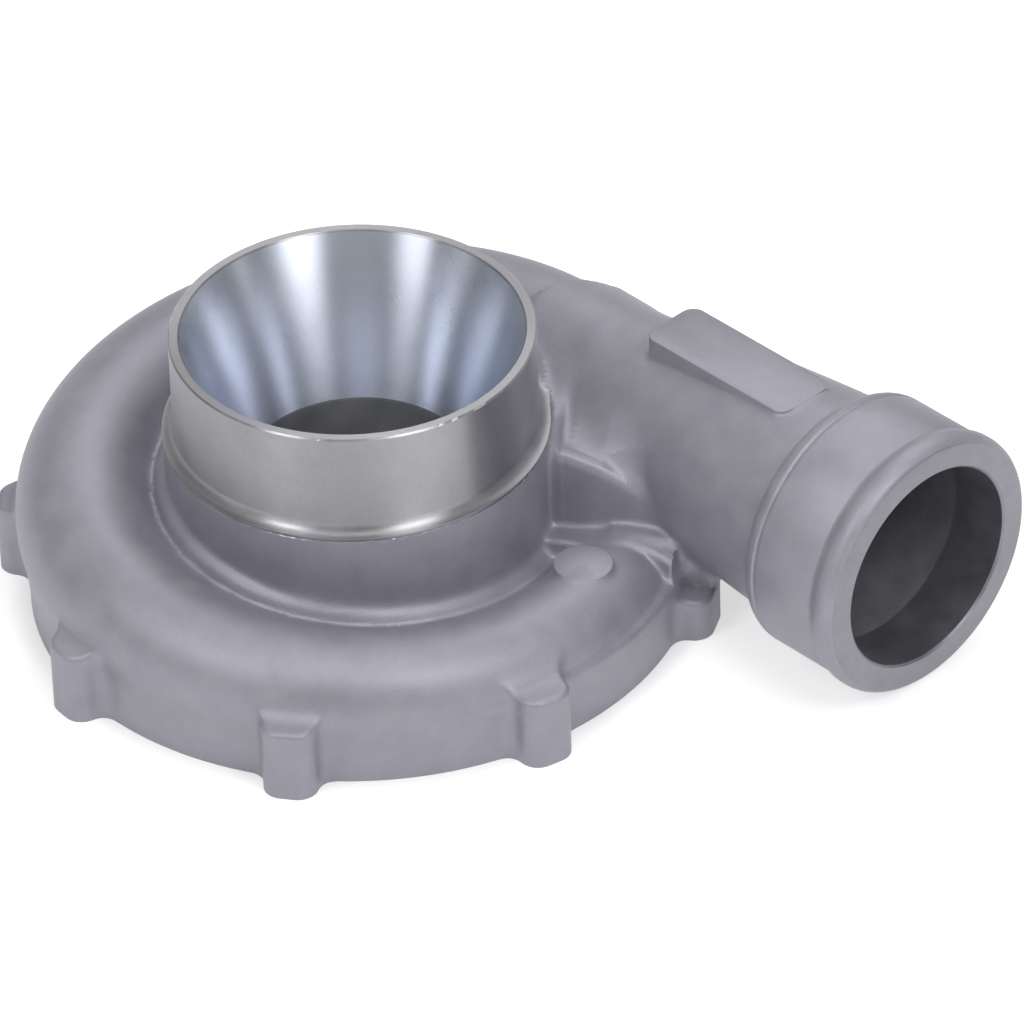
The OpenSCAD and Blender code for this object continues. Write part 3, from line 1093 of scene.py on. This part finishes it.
@dataclass
class Outlet:
    """Outlet collar with its rounded shoulder, relief and hose bead, and the bore behind it."""

    duct: Duct = field(default_factory=Duct)
    face_x: float = 147.5
    collar_r: float = 38.1
    bead_r: float = 39.0
    shoulder_len: float = 5.0
    bore_r: float = 29.85
    bore_len: float = 18.0
    inner_r: float = 16.9
    edge: float = 0.6

    def body(self) -> bpy.types.Object:
        """Collar, turned about the duct's axis, from inside the cone to the mouth.

        Returns:
            The closed mesh.
        """
        x, r, bead, start = self.face_x, self.collar_r, self.bead_r, self.duct.shoulder_x
        cone_r = self.duct.end_r - 0.4
        rise = [(cone_r + (r - cone_r) * math.sin(a), start + self.shoulder_len * (1 - math.cos(a)))
                for a in np.radians(np.linspace(0, 90, 13))]
        crease = [(r - 0.3, start + 5.4), (r - 0.35, start + 5.8), (r - 0.05, start + 6.4), (r, start + 7.2)]
        relief = [(r, x - 9.9), (r - 0.3, x - 9.2), (r - 0.38, x - 8.5), (r - 0.1, x - 7.6)]
        rim = [(bead - 0.25, x - 6.0), (bead, x - 5.2), (bead, x - 3.2), (bead - 0.25, x - 2.0),
               (bead - 0.8, x - 1.0), (bead - 1.6, x - 0.25), (bead - 2.3, x), (0, x)]
        inside = [(0, start - 12), (30, start - 12), (self.duct.end_r - 2, start - 4)]
        return Turning([*inside, *rise, *crease, *relief, *rim], about_duct=True).build("outlet_collar")

    def bore(self) -> bpy.types.Object:
        """Cutter of the outlet: straight bore with a broken edge, then the cone inwards.

        Returns:
            The closed mesh.
        """
        x, r = self.face_x, self.bore_r
        profile = [(0, -0.5), (self.inner_r, -0.5), (r, x - self.bore_len), (r, x - self.edge),
                   (r + self.edge, x), (r + self.edge, x + 1), (0, x + 1)]
        return Turning(profile, about_duct=True).build("outlet_bore")


@dataclass
class Housing:
    """The finished casting as one piece."""

    casting: Casting = field(default_factory=Casting)
    inlet: Inlet = field(default_factory=Inlet)
    outlet: Outlet = field(default_factory=Outlet)
    drills: BoltDrills = field(default_factory=BoltDrills)
    mesher: SkinMesher = field(default_factory=SkinMesher)
    passage_rings: int = 96
    sharp_angle: float = 32.0
    skin_depth: float = 1.6

    def floor_cut(self) -> bpy.types.Object:
        """Cutter that leaves the flat rear face at z = 0."""
        return Turning(((0, -9), (130, -9), (130, 0), (0, 0))).build("floor_cut")

    def passage(self) -> bpy.types.Object:
        """Cutter of the scroll's air passage.

        Returns:
            The closed mesh.
        """
        scroll = self.casting.scroll
        rings = []
        for phi in np.linspace(scroll.passage_start, scroll.turn, self.passage_rings):
            a = math.radians(scroll.tongue_angle - phi)
            ring = scroll.passage_ring(float(phi))
            rings.append(np.array([(r * math.cos(a), r * math.sin(a), z) for r, z in ring]))
        return swept("scroll_passage", rings)

    def build(self) -> bpy.types.Object:
        """Builds the housing's mesh.

        Returns:
            One closed mesh with its finishes on the faces.
        """
        points, quads = self.mesher.mesh(self.casting.distance)
        housing = mesh_object("compressor_housing_casting", points, quads)
        log.info("skin: %d quads, %d edge faults", len(quads), edge_faults(housing))
        finishes = {kind: finish.material() for kind, finish in FINISHES.items()}
        combine(housing, self.floor_cut(), Operation.CUT)
        pads = self.casting.pads
        for build in (self.inlet.body, self.outlet.body, pads.pad, pads.tap):
            combine(housing, build(), Operation.JOIN)
        for build in (self.inlet.bore, self.passage, self.outlet.bore):
            combine(housing, build(), Operation.CUT)
        combine(housing, self.drills.build(finishes[Surface.TURNED]), Operation.CUT)
        self.dress(housing.data, finishes)
        return housing

    def dress(self, data: bpy.types.Mesh, finishes: dict[Surface, bpy.types.Material]) -> None:
        """Gives every face its finish, its shading and the turned UV map.

        Args:
            data: Mesh of the housing.
            finishes: Material of each surface kind.
        """
        data.materials.clear()
        for kind in Surface:
            data.materials.append(finishes[kind])
        centre, normal = read(data.polygons, "center", 3) / MM, read(data.polygons, "normal", 3)
        kinds = self.kinds(centre, normal)
        data.polygons.foreach_set("material_index", kinds.astype(np.int32))
        data.polygons.foreach_set("use_smooth", np.ones(len(kinds), dtype=bool))
        data.set_sharp_from_angle(angle=math.radians(self.sharp_angle))
        self.turned_uv(data, centre, kinds)
        self.skin_normals(data, kinds)
        data.update()

    def kinds(self, centre: Array, normal: Array) -> Array:
        """Surface kind of each face.

        Args:
            centre: Face centres, mm.
            normal: Face normals.

        Returns:
            Slot numbers.
        """
        inlet, outlet, drills = self.inlet, self.outlet, self.drills
        x, y, z = centre.T
        r, duct_r = np.hypot(x, y), np.hypot(y - DUCT_Y, z - DUCT_Z)
        inward = (normal[:, 0] * x + normal[:, 1] * y) < -0.1 * r
        to_duct = (normal[:, 1] * (y - DUCT_Y) + normal[:, 2] * (z - DUCT_Z)) < -0.1 * duct_r
        # Faces well inside the outer skin are the air passage.
        deep = self.casting.distance(x, y, z) < -self.skin_depth
        face_z, bore_x = inlet.diffuser_z + 0.05, outlet.face_x - outlet.bore_len
        passage = (r > 60) & (z > face_z) & deep
        mouth = (x > outlet.face_x - outlet.edge) | ((x > bore_x - 0.5) & to_duct & (duct_r < 31))
        cone = (x > 0) & (x <= bore_x) & to_duct & (duct_r < 30.2) & (r > 57) \
            & (deep | (x > outlet.duct.shoulder_x))
        machined = (r < inlet.register_r + 0.8) & (inward | (normal[:, 2] < -0.5))
        rear = (z < face_z) & (machined | (z < 0.05))
        # Throat and shroud faces take the dark finish, which holds painted shade for the recess.
        throat = (r < inlet.shroud_r + 0.5) & inward & (z < inlet.throat_z)
        spigot = (r < inlet.lip_r + 0.3) & (z > inlet.lip_z - 0.85) \
            & (np.abs(r - self.casting.scroll.collar_r) > 0.03)
        bell = (r < inlet.bell_r + 0.1) & inward & (z > inlet.throat_z)
        holes = np.zeros(len(centre), dtype=bool)
        for a in drills.bolts.angles():
            off = np.hypot(x - drills.bolts.radius * math.cos(a), y - drills.bolts.radius * math.sin(a))
            holes |= (off < drills.radius + 0.55) & (z < drills.depth + 0.8)
        kinds = np.full(len(centre), Surface.CAST.value)
        for where, kind in ((passage, Surface.BORE), (mouth, Surface.MOUTH), (cone, Surface.BORE),
                            (rear, Surface.TURNED), (throat, Surface.THROAT), (spigot, Surface.TURNED),
                            (bell, Surface.BELL), (holes, Surface.TURNED)):
            kinds[where] = kind.value
        return kinds

    def skin_normals(self, data: bpy.types.Mesh, kinds: Array) -> None:
        """Shades the as-cast skin by its field, so that small triangles at the cuts leave no marks.

        Args:
            data: Mesh of the housing.
            kinds: Slot number of each face.
        """
        x, y, z = read(data.vertices, "co", 3).T / MM
        eps = 0.25
        distance = self.casting.distance
        slope = np.stack([distance(x + eps, y, z) - distance(x - eps, y, z),
                          distance(x, y + eps, z) - distance(x, y - eps, z),
                          distance(x, y, z + eps) - distance(x, y, z - eps)], axis=1)
        slope /= np.maximum(np.linalg.norm(slope, axis=1, keepdims=True), 1e-9)
        on_skin = np.abs(distance(x, y, z)) < 0.04
        vertex, face = corners(data)
        agree = (slope[vertex] * read(data.polygons, "normal", 3)[face]).sum(axis=1) > 0.75
        use = on_skin[vertex] & agree & (kinds[face] == Surface.CAST.value)
        data.normals_split_custom_set(np.where(use[:, None], slope[vertex], 0.0).tolist())

    def turned_uv(self, data: bpy.types.Mesh, centre: Array, kinds: Array) -> None:
        """Writes the UV map whose U runs round the turning axis and whose V runs along the profile.

        Args:
            data: Mesh of the housing.
            centre: Face centres, mm.
            kinds: Slot number of each face.
        """
        vertex, face = corners(data)
        points, middle = read(data.vertices, "co", 3)[vertex] / MM, centre[face]
        outlet = kinds[face] == Surface.MOUTH.value
        (a, b), (mid_a, mid_b) = ((np.where(outlet, at[:, 1] - DUCT_Y, at[:, 0]),
                                   np.where(outlet, at[:, 2] - DUCT_Z, at[:, 1])) for at in (points, middle))
        height = np.where(outlet, points[:, 0], points[:, 2])
        mid = np.arctan2(mid_b, mid_a)
        turn = mid + np.mod(np.arctan2(b, a) - mid + math.pi, 2 * math.pi) - math.pi
        layer = data.uv_layers.new(name="turned")
        uv = np.stack([turn / (2 * math.pi), height + np.hypot(a, b)], axis=1)
        layer.data.foreach_set("uv", uv.astype(np.float32).ravel())


@dataclass
class Studio:
    """Pale floor, soft lamps and the camera at the photograph's angle."""

    focal_px: float = 8962.8
    image_px: float = 1024.0
    azimuth: float = 47.004
    elevation: float = 37.047
    roll: float = 1.858
    distance: float = 2488.26
    aside: float = 42.77
    above: float = -14.83
    target_z: float = 40.0
    lamps: tuple[tuple[str, tuple[float, float, float], float, float], ...] = (
        ("top", (0.1, -0.1, 1.55), 0.9, 2.5),
        ("right", (1.15, -0.10, 1.4), 0.7, 7.8),
        ("left", (-0.08, -1.15, 1.4), 0.6, 5.6),
        ("back", (-0.5, 0.8, 1.2), 1.1, 4.0),
    )
    # Strength of the studio's walls by compass angle in degrees, for the streaks on turned metal.
    walls: Stops = (
        (-180, 0.36), (-150, 0.24), (-132, 0.28), (-120, 0.8), (-108, 0.3), (-99, 0.33), (-91, 1.05),
        (-82, 0.9), (-70, 0.34), (-45, 0.26), (-24, 0.28), (-12, 1.0), (6, 0.9), (14, 0.22), (24, 0.26),
        (31, 0.85), (40, 0.3), (58, 0.2), (75, 0.55), (110, 0.28), (150, 0.42))
    ceiling: float = 0.5
    # Height of the world's directions from which the walls run over into the ceiling.
    ceiling_from: tuple[float, float] = (0.55, 0.8)
    aim: tuple[float, float, float] = (0.02, 0.0, 0.04)
    floor_half: float = 6000.0
    floor_glow: float = 0.6
    # Distance from the part, in metres, over which the floor's glow begins.
    glow_from: tuple[float, float] = (0.08, 0.1)

    def axes(self) -> tuple[Vector, Vector, Vector]:
        """Directions of the camera.

        Returns:
            Its right, up and back.
        """
        a, e, r = (math.radians(v) for v in (self.azimuth, self.elevation, self.roll))
        back = Vector((math.sin(a) * math.cos(e), -math.cos(a) * math.cos(e), math.sin(e)))
        right = Vector((math.cos(a), math.sin(a), 0))
        up = back.cross(right)
        return (math.cos(r) * right - math.sin(r) * up, math.sin(r) * right + math.cos(r) * up, back)

    def camera(self) -> None:
        """Creates the scene camera."""
        right, up, back = self.axes()
        data = bpy.data.cameras.new("camera")
        data.sensor_fit, data.sensor_width = "HORIZONTAL", 36.0
        data.lens = self.focal_px * data.sensor_width / self.image_px
        data.clip_end = 50.0
        camera = bpy.data.objects.new("camera", data)
        bpy.context.scene.collection.objects.link(camera)
        spot = Vector((0, 0, self.target_z)) + self.distance * back + self.aside * right + self.above * up
        turn = Matrix((right, up, back)).transposed().to_4x4()
        camera.matrix_world = Matrix.Translation(spot * MM) @ turn
        bpy.context.scene.camera = camera

    def floor(self) -> None:
        """Makes the floor: a pale sheet that keeps the shadow and shows white to the camera."""
        half = self.floor_half
        sheet = [(-half, -half, 0), (half, -half, 0), (half, half, 0), (-half, half, 0)]
        floor = mesh_object("floor", sheet, [(0, 1, 2, 3)])
        made = bpy.data.materials.new("pale_matt_paper")
        tree = cleared_tree(made)
        paper = add_node(tree, "ShaderNodeBsdfDiffuse", Color=linear("#CFCFCF"))
        rays = add_node(tree, "ShaderNodeLightPath").outputs
        seen = add_node(tree, "ShaderNodeMath", {"operation": "MAXIMUM"}, i0=rays["Is Camera Ray"],
                        i1=rays["Is Glossy Ray"])
        place = add_node(tree, "ShaderNodeTexCoord").outputs["Object"]
        away = add_node(tree, "ShaderNodeVectorMath", {"operation": "LENGTH"}, i0=place).outputs["Value"]
        open_floor = add_node(tree, "ShaderNodeMapRange", i0=away, i1=self.glow_from[0],
                              i2=self.glow_from[1])
        glow = add_node(tree, "ShaderNodeMath", {"operation": "MULTIPLY"}, i0=seen.outputs[0],
                        i1=open_floor.outputs[0])
        strength = add_node(tree, "ShaderNodeMath", {"operation": "MULTIPLY"}, i0=glow.outputs[0],
                            i1=self.floor_glow)
        white = add_node(tree, "ShaderNodeEmission", Strength=strength.outputs[0])
        both = add_node(tree, "ShaderNodeAddShader", i0=paper.outputs[0], i1=white.outputs[0])
        add_node(tree, "ShaderNodeOutputMaterial", Surface=both.outputs[0])
        floor.data.materials.append(made)

    def world(self) -> None:
        """Sets an even grey light, seen as white by the camera and in clear reflections."""
        world = bpy.data.worlds.new("studio")
        tree = cleared_tree(world)
        rays = add_node(tree, "ShaderNodeLightPath").outputs
        seen = add_node(tree, "ShaderNodeMath", {"operation": "MAXIMUM"}, i0=rays["Is Camera Ray"],
                        i1=rays["Is Transmission Ray"])
        way = add_node(tree, "ShaderNodeTexCoord").outputs["Generated"]
        parts = add_node(tree, "ShaderNodeSeparateXYZ", Vector=way).outputs
        angle = add_node(tree, "ShaderNodeMath", {"operation": "ARCTAN2"}, i0=parts["Y"], i1=parts["X"])
        share = add_node(tree, "ShaderNodeMapRange", i0=angle.outputs[0], i1=-math.pi, i2=math.pi)
        ramp = add_node(tree, "ShaderNodeValToRGB", Fac=share.outputs[0])
        stops = ramp.color_ramp.elements
        for place, level in self.walls:
            stop = stops.new((place + 180) / 360)
            stop.color = (level, level, level, 1.0)
        stops.remove(stops[-1])
        ceiling = add_node(tree, "ShaderNodeMapRange", i0=parts["Z"], i1=self.ceiling_from[0],
                           i2=self.ceiling_from[1])
        wall = add_node(tree, "ShaderNodeMix", {"data_type": "FLOAT"}, Factor=ceiling.outputs[0],
                        B=self.ceiling)
        tree.links.new(ramp.outputs["Color"], wall.inputs["A"])
        strength = add_node(tree, "ShaderNodeMix", {"data_type": "FLOAT"}, Factor=seen.outputs[0], B=1.0)
        tree.links.new(wall.outputs[0], strength.inputs["A"])
        light = add_node(tree, "ShaderNodeBackground", Color=linear("#FFFFFF"), Strength=strength.outputs[0])
        add_node(tree, "ShaderNodeOutputWorld", Surface=light.outputs[0])
        bpy.context.scene.world = world

    def build(self) -> None:
        """Sets the camera, the floor, the world and the lamps."""
        self.camera()
        self.floor()
        self.world()
        for name, spot, size, power in self.lamps:
            data = bpy.data.lights.new(name, "AREA")
            data.shape, data.size, data.energy = "DISK", size, power
            lamp = bpy.data.objects.new(name, data)
            lamp.location = spot
            lamp.rotation_euler = (Vector(spot) - Vector(self.aim)).to_track_quat("Z", "Y").to_euler()
            bpy.context.scene.collection.objects.link(lamp)
        bpy.context.scene.view_settings.view_transform = "Standard"


def main() -> None:
    """Builds the studio and the housing, hangs the housing under the root body and hides the CAD part it
    stands in for.
    """
    logging.basicConfig(level=logging.INFO, format="%(name)s: %(message)s")
    Studio().build()
    housing = Housing().build()
    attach(housing, "root")
    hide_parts(NODE)
    log.info("%s: %d faces, %d edge faults", housing.name, len(housing.data.polygons), edge_faults(housing))


if __name__ == "__main__":
    main()
